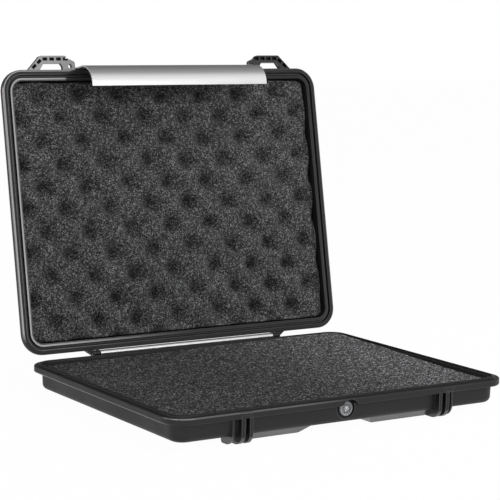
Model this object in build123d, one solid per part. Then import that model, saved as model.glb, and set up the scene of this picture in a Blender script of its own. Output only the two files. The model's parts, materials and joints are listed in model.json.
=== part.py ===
from build123d import *
import math
import os

# Hard case for a laptop: a base tray and a lid tray, joined by a hinge along the back edge and
# held shut by a wide swinging latch bar along the front edge.
#
# Every piece is drawn with the case shut and z = 0 on the parting plane between the two trays:
# x runs along the hinge, +y points to the back, the lid lies above z = 0 and the base below it.
# A tray is drawn with z growing from the parting plane outwards, and the base is its mirror image.
# At the end the lid's pieces turn about the hinge to the open pose, and everything is lifted so
# that z = 0 is the floor under the base and the origin is the middle of the base's underside.

# ---------------------------------------------------------------- driving sizes, in mm

case_width = 374.0  # rim to rim along x
case_depth = 283.4  # rim to rim along y, without the bars and the strap loops
rim_corner = 22.0  # plan radius of the rim's corners
least_corner = 8.0  # smallest plan radius of anything that follows the rim inside it
lid_open_angle = 101.0  # from shut to resting on the stops

flange_thickness = 6.8  # height of the rim flange
flange_overhang = 7.7  # how far the flange stands out from the wall below it
wall = 3.3  # thickness of the side walls
panel = 3.0  # thickness of the large outer panel
panel_height = 24.4  # parting plane to the outer panel
foot_rise = 7.8  # how far the raised bands stand out from the panel
draft = 2.0  # degrees, of the side walls
panel_edge_radius = 6.0  # where a side wall turns into the panel
cavity_edge = 3.0  # bevel of the same corner on the inside
rim_edge_radius = 1.5  # outer edges of the flange
parting_gap = 0.3  # between the two flanges when the case is shut
cut_over = 1.0  # how far a cut runs past the face that it opens
same_height = 0.01  # heights closer than this are one height

tongue_inset = 5.3  # from the rim's outer edge to the base's sealing tongue
tongue_width = 2.4
tongue_height = 1.5
groove_clearance = 0.6  # each side of the tongue in the lid's groove
groove_depth = 3.2
seal_height = 1.1
soft_gap = 0.3  # round every soft piece

bar_end_inset = 83.4  # rim's side to the ends of the latch bar and of the hinge bar
bar_end_gap = 0.4  # between a bar's end and the ribs
bar_tip_inset = 21.1  # rim's front or back to the tip of a bar's lip
bar_thickness = 1.6
bar_corner = 20.0
bar_floor_gap = 0.4  # between a bar's lip and the raised bands' plane
bead_radius = 1.1  # of the bead along a lip's tip

band_inner = 41.0  # half distance between the two raised bands
band_tip_gap = 3.1  # between a bar's tip and the raised bands' flat face
band_slope = 9.0  # run of a band's sloping sides
cross_half_length = 30.0  # of the cross band that joins the two bands

rib_thickness = 3.5
rib_setback = 2.2  # how far the ribs stay behind the rim
rib_pitch = 8.0  # first rib to second rib
second_rib_thickness = 4.0
outer_rib_pitch = 17.4  # first rib to the thin outer rib
outer_rib_thickness = 1.6
outer_rib_setback = 6.0
rib_corner = 11.0
rib_tail_corner = 2.0
rib_floor_gap = 0.5  # between a rib's edge and the raised bands' plane
rib_foot_length = 19.3  # how far a rib runs in under the panel
rib_foot_slope = 2.4

guard_inset = 2.0  # from the first rib's inner side to the small guard block on the base's flange
guard_length = 12.5
guard_proud = 1.0
guard_height = 5.2
guard_slot_width = 9.5
guard_slot_height = 1.1
guard_slot_depth = 1.6

foam_wall_gap = 1.2  # between the foam and the cavity's wall
base_foam_drop = 2.4  # parting plane down to the top of the base's foam
base_pad_thickness = 5.6  # the foam sheet under the block
lid_foam_face = 3.2  # parting plane up to the ridges of the lid's foam
hollow_pitch_x = 47.3  # between the hollows of one row in the lid's foam
hollow_pitch_y = 23.05  # from row to row, each row half a pitch along from the last
hollow_start_x = 17.5  # the hollow nearest the middle
hollow_start_y = -1.3
hollow_mouth = 21.6  # side of a hollow's square mouth
hollow_taper = 42.0  # degrees that its sides lean inwards
hollow_depth = 7.2
hollow_rows = 5  # on each side of the middle row

pin_radius = 1.5
pin_fit = 0.05  # radial clearance of every pin
pin_engagement = 8.6  # how far a pin runs into a bar
side_gap = 0.4  # between knuckles along a pin

hinge_back = 3.5  # hinge axis behind the rim
hinge_up = 1.2  # hinge axis above the parting plane
hinge_knuckle_radius = 3.1
hinge_lug_thickness = 2.6
hinge_gusset = 7.2  # how far the outer lid lug widens towards the lid
stop_gap = 0.2  # between the lid and its open stop
stop_length = 3.0

latch_face_gap = 0.5  # between the rim and the latch bar's inner face
latch_pivot_height = 13.0
latch_knuckle_radius = 4.0
latch_ear_radius = 4.2

bar_screw_radius = 1.4
bar_screw_head_radius = 2.9
bar_screw_head_height = 1.7
bar_screw_depth = 7.0
bar_screw_fit = 0.05
bar_screw_shares = (0.29, 0.82)  # places along the hinge bar's half width
bar_boss_half_width = 6.0
bar_boss_half_height = 4.5
boss_edge = 1.0

loop_thickness = 4.5
loop_lift = 0.9  # parting plane to the loop's lower face
loop_rib_gap = 0.4  # from the first rib's inner side to the loop's inner end
loop_length = 52.6
loop_root_depth = 3.0  # how deep the loop's root sits in the flange
loop_root_fit = 0.1
loop_reach = 14.2  # how far the loop stands out from the rim
loop_shoulder_reach = 8.0
loop_shoulder_width = 7.4
loop_top_start = 10.6  # along the loop, to the start and the end of its straight top
loop_top_end = 38.6
loop_band = 7.8  # width of the loop's arch, seen from above
strap_hole_start = 13.8
strap_hole_end = 39.6
strap_hole_slant = 4.4
loop_edge_radius = 3.0
padlock_hole_along = 5.6
padlock_hole_reach = 3.4
padlock_hole_radius = 2.2
pocket_count = 6
pocket_length = 5.4
pocket_width = 3.2
pocket_depth = 3.7
pocket_inset = 3.4  # of the pockets' line from the loop's outer edge
rivet_radius = 0.9
rivet_head_radius = 1.9
rivet_head_height = 0.8
rivets_along = (5.4, 44.1)

valve_drop = 11.0  # parting plane down to the valve's axis
valve_recess_radius = 9.8
valve_seat_depth = 10.5  # rim's face back to the flat seat of the valve
valve_seat_wall = 2.8
valve_seat_rim = 0.7  # how much wider the thickened seat is than the recess
valve_flange_radius = 6.8
valve_flange_thickness = 2.8
valve_flange_edge = 0.7
valve_spigot_radius = 4.7
valve_spigot_height = 1.0
valve_shank_radius = 3.9
valve_bore_fit = 0.1
valve_shank_length = 6.8
valve_vent_radius = 1.8
valve_cup_radius = 5.3
valve_cup_depth = 1.7
valve_cap_fit = 0.15
valve_cap_thickness = 1.2
valve_socket_radius = 2.6
valve_socket_depth = 0.7
valve_slot_count = 6
valve_slot_radius = 0.5
valve_slot_circle = 3.9
membrane_thickness = 0.3
valve_gasket_radius = 6.2
nut_across_flats = 11.0
nut_thickness = 2.6
nut_pocket_gap = 1.0  # between the foam and the valve's seat, nut and shank

# ---------------------------------------------------------------- places that follow

rim_front = -case_depth / 2
rim_back = case_depth / 2
wall_inset = flange_overhang + wall
half_height = panel_height + foot_rise
cavity_depth = panel_height - panel
bar_half_width = case_width / 2 - bar_end_inset
bar_tip = case_depth / 2 - bar_tip_inset
lip_outer_z = bar_floor_gap - half_height
band_half_length = bar_tip - band_tip_gap
rib_inner = bar_half_width + bar_end_gap
pin_inner = bar_half_width - pin_engagement
pin_bore = pin_radius + pin_fit
hinge_y = rim_back + hinge_back
hinge_z = hinge_up
hinge_base_lug_inner = rib_inner + hinge_lug_thickness + side_gap
hinge_outer_lug_inner = hinge_base_lug_inner + hinge_lug_thickness + side_gap
hinge_pin_outer = hinge_outer_lug_inner + hinge_lug_thickness
hinge_web_outer = hinge_y + hinge_knuckle_radius
hinge_web_inner = hinge_web_outer - bar_thickness
latch_web_outer = rim_front - latch_face_gap - bar_thickness
latch_pivot_y = latch_web_outer + latch_knuckle_radius
bar_screw_drop = half_height - bar_floor_gap - bar_corner - bar_boss_half_height
loop_inner = rib_inner + loop_rib_gap
groove_inset = tongue_inset - groove_clearance
groove_width = tongue_width + 2 * groove_clearance
valve_seat_y = rim_front + valve_seat_depth
valve_inner_y = valve_seat_y + valve_seat_wall
valve_face_y = valve_seat_y - valve_spigot_height - valve_flange_thickness


# ---------------------------------------------------------------- helpers


def plate_outline(inset):
    """The rim's outline, drawn in from its outer edge by inset."""
    return RectangleRounded(
        case_width - 2 * inset, case_depth - 2 * inset, max(rim_corner - inset, least_corner)
    )


def ring(inset, width, height):
    """A wall of the given width that follows the rim's outline, standing on the parting plane."""
    return extrude(plate_outline(inset) - plate_outline(inset + width), amount=height)


def slab(x0, x1, points):
    """A plate from x0 to x1 with the outline points in the y-z plane."""
    return extrude(Plane.YZ.offset(x0) * make_face(Polyline(*points, close=True)), amount=x1 - x0)


def both_sides(piece):
    """The piece and its mirror image on the other side of x = 0."""
    return piece + mirror(piece, about=Plane.YZ)


def front_and_back(piece):
    """The piece and its mirror image on the other side of y = 0."""
    return piece + mirror(piece, about=Plane.XZ)


def rod(x0, x1, y, z, radius):
    """A round rod along x, centred on y and z."""
    return extrude(Plane.YZ.offset(x0) * Pos(y, z) * Circle(radius), amount=x1 - x0)


def barrel(y0, y1, z, radius):
    """A round solid along y in the plane x = 0, centred on z."""
    return extrude(Plane.XZ.offset(-y0) * Pos(0, z) * Circle(radius), amount=y0 - y1)


def block(x0, x1, y0, y1, z0, z1):
    """A square block between two corners."""
    return Pos(x0, y0, z0) * Box(
        x1 - x0, y1 - y0, z1 - z0, align=(Align.MIN, Align.MIN, Align.MIN)
    )


def edges_at(piece, height):
    """The edges of piece that lie in the plane z = height."""
    return piece.edges().filter_by_position(Axis.Z, height - same_height, height + same_height)


# ---------------------------------------------------------------- a tray, drawn outwards


def raised_bands(inset):
    """Two bands that run front to back and the cross band between them, shrunk all round by inset.

    Their sides slope, and they start inside the cavity's panel so that they join it.
    """
    top = half_height - inset
    foot = cavity_depth - inset
    slope_rate = band_slope / foot_rise
    spread = slope_rate * (top - foot)
    length = band_half_length - inset
    inner = band_inner + inset
    outer = rib_inner - inset
    profile = [(-length - spread, foot), (-length, top), (length, top), (length + spread, foot)]
    band = slab(inner - spread, outer, profile)
    side = Polyline((inner - spread, foot), (inner, top), (outer, top), (outer, foot), close=True)
    band &= extrude(Plane.XZ * make_face(side), amount=length + spread, both=True)
    half = cross_half_length - inset
    cross = [(-half - spread, foot), (-half, top), (half, top), (half + spread, foot)]
    return both_sides(band) + slab(-inner, inner, cross)


def rib_outline(setback):
    """Side view of a rib on the front: a tall plate with a round lower corner and a short tail."""
    front = rim_front + setback
    root = rim_front + flange_overhang + wall / 2
    tail = rim_front + flange_overhang + rib_foot_length
    low = half_height - rib_floor_gap
    outline = make_face(
        Polyline(
            (front, flange_thickness / 2),
            (front, low),
            (tail - rib_foot_slope, low),
            (tail, panel_height - panel / 2),
            (root, panel_height - panel / 2),
            (root, flange_thickness / 2),
            close=True,
        )
    )
    outline = fillet(outline.vertices().sort_by_distance((front, low))[0], rib_corner)
    tail_corner = outline.vertices().sort_by_distance((tail - rib_foot_slope, low))[0]
    return fillet(tail_corner, rib_tail_corner)


def ribs():
    """The group of three ribs on each side of the bars, on the front and on the back."""
    places = (
        (rib_inner, rib_thickness, rib_setback),
        (rib_inner + rib_pitch, second_rib_thickness, rib_setback),
        (rib_inner + outer_rib_pitch, outer_rib_thickness, outer_rib_setback),
    )
    group = Part()
    for inner, thickness, setback in places:
        group += extrude(Plane.YZ.offset(inner) * rib_outline(setback), amount=thickness)
    return front_and_back(both_sides(group))


def tray():
    """The moulded tray that both halves share, from the parting plane outwards."""
    flange = extrude(plate_outline(0), amount=flange_thickness)
    flange = fillet(edges_at(flange, flange_thickness) + edges_at(flange, 0), rim_edge_radius)
    tub = extrude(plate_outline(flange_overhang), amount=panel_height, taper=draft)
    tub = fillet(edges_at(tub, panel_height), panel_edge_radius)
    hollow = extrude(plate_outline(wall_inset), amount=cavity_depth, taper=draft)
    hollow = chamfer(edges_at(hollow, cavity_depth), cavity_edge)
    body = flange + tub + raised_bands(0) + ribs()
    body -= hollow + raised_bands(panel)
    # the halves meet with a small gap, so each flange starts just off the parting plane
    return body - block(
        -case_width, case_width, -case_depth, case_depth, -parting_gap, parting_gap / 2
    )


# ---------------------------------------------------------------- hinge


def knuckle_lug(x0, x1, root_low, root_high):
    """A hinge lug: a round eye on the hinge axis that runs into the rim between two heights."""
    eye = Plane.YZ.offset(x0) * Pos(hinge_y, hinge_z) * Circle(hinge_knuckle_radius)
    root = slab(
        x0,
        x1,
        [
            (rim_back - wall, root_low),
            (hinge_y, hinge_z - hinge_knuckle_radius if root_high < hinge_z else root_low),
            (hinge_y, root_high),
            (rim_back - wall, root_high),
        ],
    )
    return extrude(eye, amount=x1 - x0) + root


def lid_lugs():
    """Two lugs on each side of the lid: the inner one plain, the outer one with a sloping flank."""
    low = parting_gap * 2
    high = hinge_z + hinge_knuckle_radius
    inner = knuckle_lug(rib_inner, rib_inner + hinge_lug_thickness, low, high)
    outer = knuckle_lug(hinge_outer_lug_inner, hinge_pin_outer, low, high)
    flank = make_face(
        Polyline(
            (hinge_pin_outer, rim_back - wall),
            (hinge_pin_outer + hinge_gusset, rim_back - wall),
            (hinge_pin_outer + hinge_gusset, rim_back),
            (hinge_pin_outer, hinge_y + hinge_knuckle_radius / 2),
            close=True,
        )
    )
    flank = extrude(Plane.XY.offset(low) * flank, amount=high - low)
    bore = rod(rib_inner - cut_over, hinge_pin_outer + cut_over, hinge_y, hinge_z, pin_bore)
    return both_sides(inner + outer + flank - bore)


def base_lugs():
    """One lug on each side of the base, between the lid's two, with the heel that stops the lid."""
    low = parting_gap / 2 + rim_edge_radius - flange_thickness
    lug_outer = hinge_base_lug_inner + hinge_lug_thickness
    lug = knuckle_lug(hinge_base_lug_inner, lug_outer, low, -2 * parting_gap)
    turn = lid_open_angle - 90.0
    heel = Pos(0, hinge_back - stop_gap) * Rectangle(
        stop_length, hinge_back - stop_gap, align=(Align.MIN, Align.MAX)
    )
    heel = Plane.YZ.offset(hinge_base_lug_inner) * Pos(hinge_y, hinge_z) * Rot(0, 0, -turn) * heel
    lug += extrude(heel, amount=hinge_lug_thickness)
    lug -= rod(
        hinge_base_lug_inner - cut_over, lug_outer + cut_over, hinge_y, hinge_z, pin_bore
    )
    return both_sides(lug)


def bar_section(outer_y, pivot_z, knuckle_radius, side):
    """Section of a bar: an eye for the pins, a web, a round corner and a lip under the base.

    side is -1 for a bar along the front and +1 for one along the back.
    """
    inner_y = outer_y - side * bar_thickness
    tip_y = side * bar_tip
    inner_z = lip_outer_z + bar_thickness
    web = make_face(
        Polyline(
            (outer_y, pivot_z),
            (outer_y, lip_outer_z),
            (tip_y, lip_outer_z),
            (tip_y, inner_z),
            (inner_y, inner_z),
            (inner_y, pivot_z),
            close=True,
        )
    )
    web = fillet(web.vertices().sort_by_distance((outer_y, lip_outer_z))[0], bar_corner)
    web = fillet(
        web.vertices().sort_by_distance((inner_y, inner_z))[0], bar_corner - bar_thickness
    )
    pivot = Pos(outer_y - side * knuckle_radius, pivot_z)
    bead = Pos(tip_y + side * bead_radius, lip_outer_z + bead_radius) * Circle(bead_radius)
    return web + bead + pivot * Circle(knuckle_radius) - pivot * Circle(pin_bore)


def bar(section):
    """The full width of a bar, cut from one extrusion."""
    return extrude(Plane.YZ.offset(-bar_half_width) * section, amount=2 * bar_half_width)


def latch_bar():
    return bar(bar_section(latch_web_outer, latch_pivot_height, latch_knuckle_radius, -1))


def hinge_bar():
    piece = bar(bar_section(hinge_web_outer, hinge_z, hinge_knuckle_radius, 1))
    return piece - screws_at(bar_screw_radius + bar_screw_fit, hinge_web_outer + cut_over)


def screw_places():
    """Where screws hold the hinge bar, along x on the right-hand side."""
    return [share * bar_half_width for share in bar_screw_shares]


def screws_at(radius, back_y):
    """Round rods along y at each place where a screw holds the hinge bar, as far back as back_y."""
    front_y = hinge_web_outer - bar_screw_depth
    rods = Part()
    for place in screw_places():
        rods += both_sides(Pos(place) * barrel(front_y, back_y, -bar_screw_drop, radius))
    return rods


def hinge_bar_screws():
    """Pan-head screws through the hinge bar's web into the base's bosses."""
    head_back = hinge_web_outer + bar_screw_head_height
    head = barrel(hinge_web_outer, head_back, -bar_screw_drop, bar_screw_head_radius)
    head = chamfer(head.edges().sort_by(Axis.Y)[-1], bar_screw_head_height / 2)
    socket = Pos(0, -bar_screw_drop) * RegularPolygon(bar_screw_radius, 6)
    head -= extrude(Plane.XZ.offset(-head_back) * socket, amount=bar_screw_head_height / 2)
    heads = Part()
    for place in screw_places():
        heads += both_sides(Pos(place) * head)
    return heads + screws_at(bar_screw_radius, hinge_web_outer)


def bar_bosses():
    """Bosses on the base's back wall that carry the hinge bar."""
    boss = block(
        -bar_boss_half_width,
        bar_boss_half_width,
        rim_back - flange_overhang - wall / 2,
        hinge_web_inner,
        -bar_screw_drop - bar_boss_half_height,
        -bar_screw_drop + bar_boss_half_height,
    )
    boss = chamfer(boss.edges().filter_by(Axis.Y), boss_edge)
    bosses = Part()
    for place in screw_places():
        bosses += both_sides(Pos(place) * boss)
    return bosses


# ---------------------------------------------------------------- strap loops


def loop_outline():
    """The right loop from above: a low arch on the rim, with a shoulder for the padlock hole."""
    root_y = rim_front + loop_root_depth
    shoulder_y = rim_front - loop_shoulder_reach
    top_y = rim_front - loop_reach
    arch = make_face(
        Polyline(
            (loop_inner, root_y),
            (loop_inner, shoulder_y),
            (loop_inner + loop_shoulder_width, (shoulder_y + top_y) / 2),
            (loop_inner + loop_top_start, top_y),
            (loop_inner + loop_top_end, top_y),
            (loop_inner + loop_length, rim_front),
            (loop_inner + loop_length, root_y),
            close=True,
        )
    )
    arch = fillet(arch.vertices().group_by(Axis.Y)[0], loop_edge_radius)
    corner = arch.vertices().sort_by_distance((loop_inner, shoulder_y))[0]
    return fillet(corner, loop_edge_radius)


def strap_hole():
    """The hole that a strap goes through, between the arch and the rim."""
    start = loop_inner + strap_hole_start
    end = loop_inner + strap_hole_end
    top_y = rim_front - loop_reach + loop_band
    hole = make_face(
        Polyline(
            (start, rim_front),
            (start, (rim_front + top_y) / 2),
            (start + strap_hole_slant / 2, top_y),
            (end - strap_hole_slant, top_y),
            (end, rim_front),
            close=True,
        )
    )
    return fillet(hole.vertices().group_by(Axis.Y)[0], loop_edge_radius / 2)


def pocket_places():
    """Centres and directions of the cored pockets along the arch's outer edge."""
    reach = rim_front - loop_reach + pocket_inset
    line = Polyline(
        (loop_inner + loop_top_start, reach),
        (loop_inner + loop_top_end - pocket_inset / 2, reach),
        (loop_inner + loop_length - pocket_inset * 2, rim_front - pocket_inset),
    )
    for i in range(pocket_count):
        share = i / (pocket_count - 1)
        yield line.position_at(share), line.tangent_at(share)


def loop_slot(fit):
    """The space that a loop's root takes in the lid's flange, widened by fit."""
    return block(
        loop_inner - fit,
        loop_inner + loop_length + fit,
        rim_front - loop_root_depth,
        rim_front + loop_root_depth + fit,
        loop_lift - fit,
        loop_lift + loop_thickness + fit,
    )


def rivets(radius, head_radius):
    """Rivets that pin a loop's root in the flange: a stem along z and a round head outside."""
    foot_z = loop_lift + loop_thickness / 4
    pins = Part()
    for along in rivets_along:
        spot = Pos(loop_inner + along, rim_front + loop_root_depth / 2)
        pins += spot * extrude(Plane.XY.offset(foot_z) * Circle(radius), flange_thickness - foot_z)
        if head_radius:
            head = Plane.XY.offset(flange_thickness) * Circle(head_radius)
            pins += spot * extrude(head, rivet_head_height)
    return pins


def strap_loop():
    """The right-hand strap loop."""
    plate = extrude(Plane.XY.offset(loop_lift) * loop_outline(), amount=loop_thickness)
    plate -= extrude(Plane.XY.offset(loop_lift) * strap_hole(), amount=loop_thickness)
    hole = Pos(loop_inner + padlock_hole_along, rim_front - padlock_hole_reach)
    plate -= extrude(Plane.XY.offset(loop_lift) * hole * Circle(padlock_hole_radius), loop_thickness)
    for centre, tangent in pocket_places():
        turn = math.degrees(math.atan2(tangent.Y, tangent.X))
        pocket = Pos(centre.X, centre.Y) * Rot(0, 0, turn) * Rectangle(pocket_length, pocket_width)
        plate -= extrude(Plane.XY.offset(loop_lift) * pocket, pocket_depth)
    return plate - rivets(rivet_radius + pin_fit, 0)


# ---------------------------------------------------------------- pressure valve


def valve_body():
    """Round flange with a cup in its face, a spigot on the seat and a hollow threaded shank."""
    flange_back = valve_face_y + valve_flange_thickness
    body = barrel(valve_face_y, flange_back, -valve_drop, valve_flange_radius)
    body = chamfer(body.edges().sort_by(Axis.Y)[0], valve_flange_edge)
    body += barrel(flange_back, valve_seat_y, -valve_drop, valve_spigot_radius)
    shank_end = valve_seat_y + valve_shank_length
    body += barrel(valve_seat_y, shank_end, -valve_drop, valve_shank_radius)
    body -= barrel(valve_face_y, valve_face_y + valve_cup_depth, -valve_drop, valve_cup_radius)
    return body - barrel(valve_face_y, shank_end, -valve_drop, valve_vent_radius)


def valve_membrane():
    """Thin breathing disc on the floor of the cup."""
    floor = valve_face_y + valve_cup_depth
    return barrel(floor - membrane_thickness, floor, -valve_drop, valve_cup_radius - valve_cap_fit)


def valve_cap():
    """Disc that closes the cup, with a ring of vents round a six-sided socket."""
    back = valve_face_y + valve_cup_depth - membrane_thickness
    front = back - valve_cap_thickness
    cap = barrel(front, back, -valve_drop, valve_cup_radius - valve_cap_fit)
    for place in PolarLocations(valve_slot_circle, valve_slot_count):
        vent = Pos(place.position.X, 0, place.position.Y)
        cap -= vent * barrel(front, back, -valve_drop, valve_slot_radius)
    socket = Pos(0, -valve_drop) * RegularPolygon(valve_socket_radius, 6)
    return cap - extrude(Plane.XZ.offset(-front) * socket, amount=-valve_socket_depth)


def valve_gasket():
    """Flat sealing ring between the valve's flange and its seat, round the spigot."""
    flange_back = valve_seat_y - valve_spigot_height
    gasket = barrel(flange_back, valve_seat_y, -valve_drop, valve_gasket_radius)
    return gasket - barrel(flange_back, valve_seat_y, -valve_drop, valve_spigot_radius + pin_fit)


def valve_nut():
    """Thin hexagon nut on the shank, inside the case."""
    nut_plane = Plane(origin=(0, valve_inner_y, -valve_drop), z_dir=(0, 1, 0))
    hexagon = RegularPolygon(nut_across_flats / 2, 6, major_radius=False)
    return extrude(nut_plane * (hexagon - Circle(valve_shank_radius + pin_fit)), amount=nut_thickness)


# ---------------------------------------------------------------- shells


def guard_blocks():
    """Small blocks on the base's flange above the ribs, and the slots that are cut into them."""
    inner = rib_inner + guard_inset
    outer = inner + guard_length
    front = rim_front - guard_proud
    guard = block(inner, outer, front, rim_front + wall, -guard_height, 0)
    guard = chamfer(guard.edges().group_by(Axis.Y)[0], guard_proud / 2)
    slot_top = -rim_edge_radius - parting_gap
    slot = block(
        outer - guard_slot_width,
        outer + cut_over,
        front - cut_over,
        front + guard_slot_depth,
        slot_top - guard_slot_height,
        slot_top,
    )
    return both_sides(Pos(0, 0, -2 * parting_gap) * guard), both_sides(slot)


def valve_seat(shell):
    """The shell with a round recess in its front for the valve, and a thickened seat behind it."""
    seat_radius = valve_recess_radius + valve_seat_rim
    shell += barrel(valve_seat_y - valve_spigot_height, valve_inner_y, -valve_drop, seat_radius)
    shell -= barrel(rim_front - cut_over, valve_seat_y, -valve_drop, valve_recess_radius)
    bore = valve_shank_radius + valve_bore_fit
    return shell - barrel(rim_front, valve_inner_y + cut_over, -valve_drop, bore)


def base_shell():
    """The base tray with its sealing tongue, hinge lugs, bosses, valve seat and guard blocks."""
    tongue = ring(tongue_inset, tongue_width, tongue_height + parting_gap)
    tongue = chamfer(edges_at(tongue, tongue_height + parting_gap), tongue_width / 3)
    guards, slots = guard_blocks()
    shell = mirror(tray(), about=Plane.XY) + Pos(0, 0, -parting_gap) * tongue
    shell += bar_bosses() + base_lugs() + guards
    shell = valve_seat(shell - slots)
    return shell - screws_at(bar_screw_radius + bar_screw_fit, hinge_web_outer)


def latch_ears():
    """Ears on the lid's inner front ribs that carry the latch bar's pins."""
    outer = rib_inner + rib_thickness
    ear = rod(rib_inner, outer, latch_pivot_y, latch_pivot_height, latch_ear_radius)
    ear += block(
        rib_inner,
        outer,
        latch_pivot_y,
        rim_front + flange_overhang + wall / 2,
        latch_pivot_height - latch_ear_radius,
        latch_pivot_height + latch_ear_radius,
    )
    return both_sides(ear)


def lid_shell():
    """The lid tray with its sealing groove, hinge lugs, latch ears and slots for the loops."""
    groove = ring(groove_inset, groove_width, groove_depth + parting_gap / 2)
    bore = rod(
        rib_inner - cut_over,
        rib_inner + rib_thickness + cut_over,
        latch_pivot_y,
        latch_pivot_height,
        pin_bore,
    )
    shell = tray() - groove + lid_lugs() + latch_ears()
    shell -= both_sides(bore)
    shell -= both_sides(loop_slot(loop_root_fit))
    return shell - both_sides(rivets(rivet_radius + pin_fit, 0))


def lid_seal():
    """Soft sealing strip on the floor of the lid's groove."""
    strip = ring(groove_inset + soft_gap, groove_width - 2 * soft_gap, seal_height)
    return Pos(0, 0, groove_depth + parting_gap / 2 - soft_gap - seal_height) * strip


# ---------------------------------------------------------------- foam


def foam_sheet(near, far):
    """A foam sheet in a tray, between two heights outwards from the parting plane."""
    outline = plate_outline(wall_inset + foam_wall_gap)
    sheet = extrude(Plane.XY.offset(near) * outline, amount=far - near)
    if far < cavity_depth - cavity_edge:
        return sheet
    return chamfer(edges_at(sheet, far), cavity_edge)


def hollow_places():
    """Middles of the hollows in the lid's foam, in rows that are staggered by half a pitch."""
    places = []
    reach = int(case_width / (2 * hollow_pitch_x)) + 1
    for row in range(-hollow_rows, hollow_rows + 1):
        shift = hollow_start_x + hollow_pitch_x / 2 * (row % 2)
        for step in range(-reach, reach):
            x = shift + step * hollow_pitch_x
            if abs(x) < case_width / 2 - wall_inset:
                places.append((x, hollow_start_y + row * hollow_pitch_y))
    return places


def lid_foam():
    """The lid's foam: a sheet with staggered hollows, each a shallow square funnel."""
    sheet = foam_sheet(lid_foam_face, cavity_depth - soft_gap)
    mouth = Plane.XY.offset(lid_foam_face) * Rectangle(hollow_mouth, hollow_mouth)
    hollow = extrude(mouth, amount=hollow_depth, taper=hollow_taper)
    return sheet - [Pos(x, y) * hollow for x, y in hollow_places()]


def base_foam(near, far):
    """A foam sheet in the base, with a notch for the valve's seat and nut."""
    half_width = valve_recess_radius + valve_seat_rim + nut_pocket_gap
    notch_back = valve_seat_y + valve_shank_length + nut_pocket_gap
    sheet = mirror(foam_sheet(near, far), about=Plane.XY)
    return sheet - block(-half_width, half_width, rim_front, notch_back, -half_height, 0)


# ---------------------------------------------------------------- the pieces


def base_pieces():
    pad_far = cavity_depth - soft_gap
    pad_near = pad_far - base_pad_thickness
    right_pin = rod(pin_inner, hinge_pin_outer, hinge_y, hinge_z, pin_radius)
    return {
        "base_shell": base_shell(),
        "base_foam_pad": base_foam(pad_near, pad_far),
        "base_foam_block": base_foam(base_foam_drop, pad_near - soft_gap),
        "valve_body": valve_body(),
        "valve_cap": valve_cap(),
        "valve_membrane": valve_membrane(),
        "valve_gasket": valve_gasket(),
        "valve_nut": valve_nut(),
        "hinge_bar": hinge_bar(),
        "hinge_bar_screws": hinge_bar_screws(),
        "hinge_pin_right": right_pin,
        "hinge_pin_left": mirror(right_pin, about=Plane.YZ),
    }


def lid_pieces():
    right_loop = strap_loop()
    right_rivets = rivets(rivet_radius, rivet_head_radius)
    pin_outer = rib_inner + rib_thickness
    right_pin = rod(pin_inner, pin_outer, latch_pivot_y, latch_pivot_height, pin_radius)
    return {
        "lid_shell": lid_shell(),
        "lid_foam": lid_foam(),
        "lid_seal": lid_seal(),
        "strap_loop_right": right_loop,
        "strap_loop_left": mirror(right_loop, about=Plane.YZ),
        "loop_rivets_right": right_rivets,
        "loop_rivets_left": mirror(right_rivets, about=Plane.YZ),
        "latch_pin_right": right_pin,
        "latch_pin_left": mirror(right_pin, about=Plane.YZ),
        "latch_bar": latch_bar(),
    }


def main():
    os.makedirs("parts", exist_ok=True)
    hinge = Axis((0, hinge_y, hinge_z), (1, 0, 0))
    pieces = base_pieces()
    for name, piece in lid_pieces().items():
        pieces[name] = piece.rotate(hinge, -lid_open_angle)
    for name, piece in pieces.items():
        export_step(Pos(0, 0, half_height) * piece, f"parts/{name}.step")


main()
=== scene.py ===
import json
import math

import bpy
import numpy as np
from mathutils import Matrix, Vector


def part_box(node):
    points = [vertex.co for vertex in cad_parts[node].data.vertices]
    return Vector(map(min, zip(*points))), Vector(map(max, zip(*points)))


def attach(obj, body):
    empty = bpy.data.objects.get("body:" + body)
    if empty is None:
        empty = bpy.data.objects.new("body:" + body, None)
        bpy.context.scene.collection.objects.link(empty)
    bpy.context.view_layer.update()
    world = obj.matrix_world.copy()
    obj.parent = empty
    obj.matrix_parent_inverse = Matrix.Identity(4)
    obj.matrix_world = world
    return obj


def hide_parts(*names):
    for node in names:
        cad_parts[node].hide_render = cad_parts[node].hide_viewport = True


bl_info = {
    "name": "Laptop hard case",
    "version": (1, 0, 0),
    "blender": (4, 5, 0),
    "location": "3D View > Sidebar > Case",
    "description": "Foam lining, seal, vent disc, finishes and studio for a laptop hard case",
    "category": "Object",
}

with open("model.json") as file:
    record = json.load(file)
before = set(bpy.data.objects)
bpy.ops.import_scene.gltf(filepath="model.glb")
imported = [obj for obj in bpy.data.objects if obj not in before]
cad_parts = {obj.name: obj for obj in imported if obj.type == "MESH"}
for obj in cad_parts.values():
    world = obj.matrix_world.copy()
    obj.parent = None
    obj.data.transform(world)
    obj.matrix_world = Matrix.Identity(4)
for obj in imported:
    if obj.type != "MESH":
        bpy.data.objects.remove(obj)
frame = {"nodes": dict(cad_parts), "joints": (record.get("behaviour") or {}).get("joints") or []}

MM = 0.001

# The lid's hinge: its place, and the angle from the open pose at rest to shut.
HINGE = next(joint for joint in frame["joints"] if joint["name"] == "lid_hinge")
HINGE_Y, HINGE_Z = HINGE["pos_m"][1:]
OPEN_ANGLE = math.radians(HINGE["range_deg"][1])
PARTING_Z = HINGE_Z - 1.2 * MM  # the plane where the two trays meet

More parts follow.
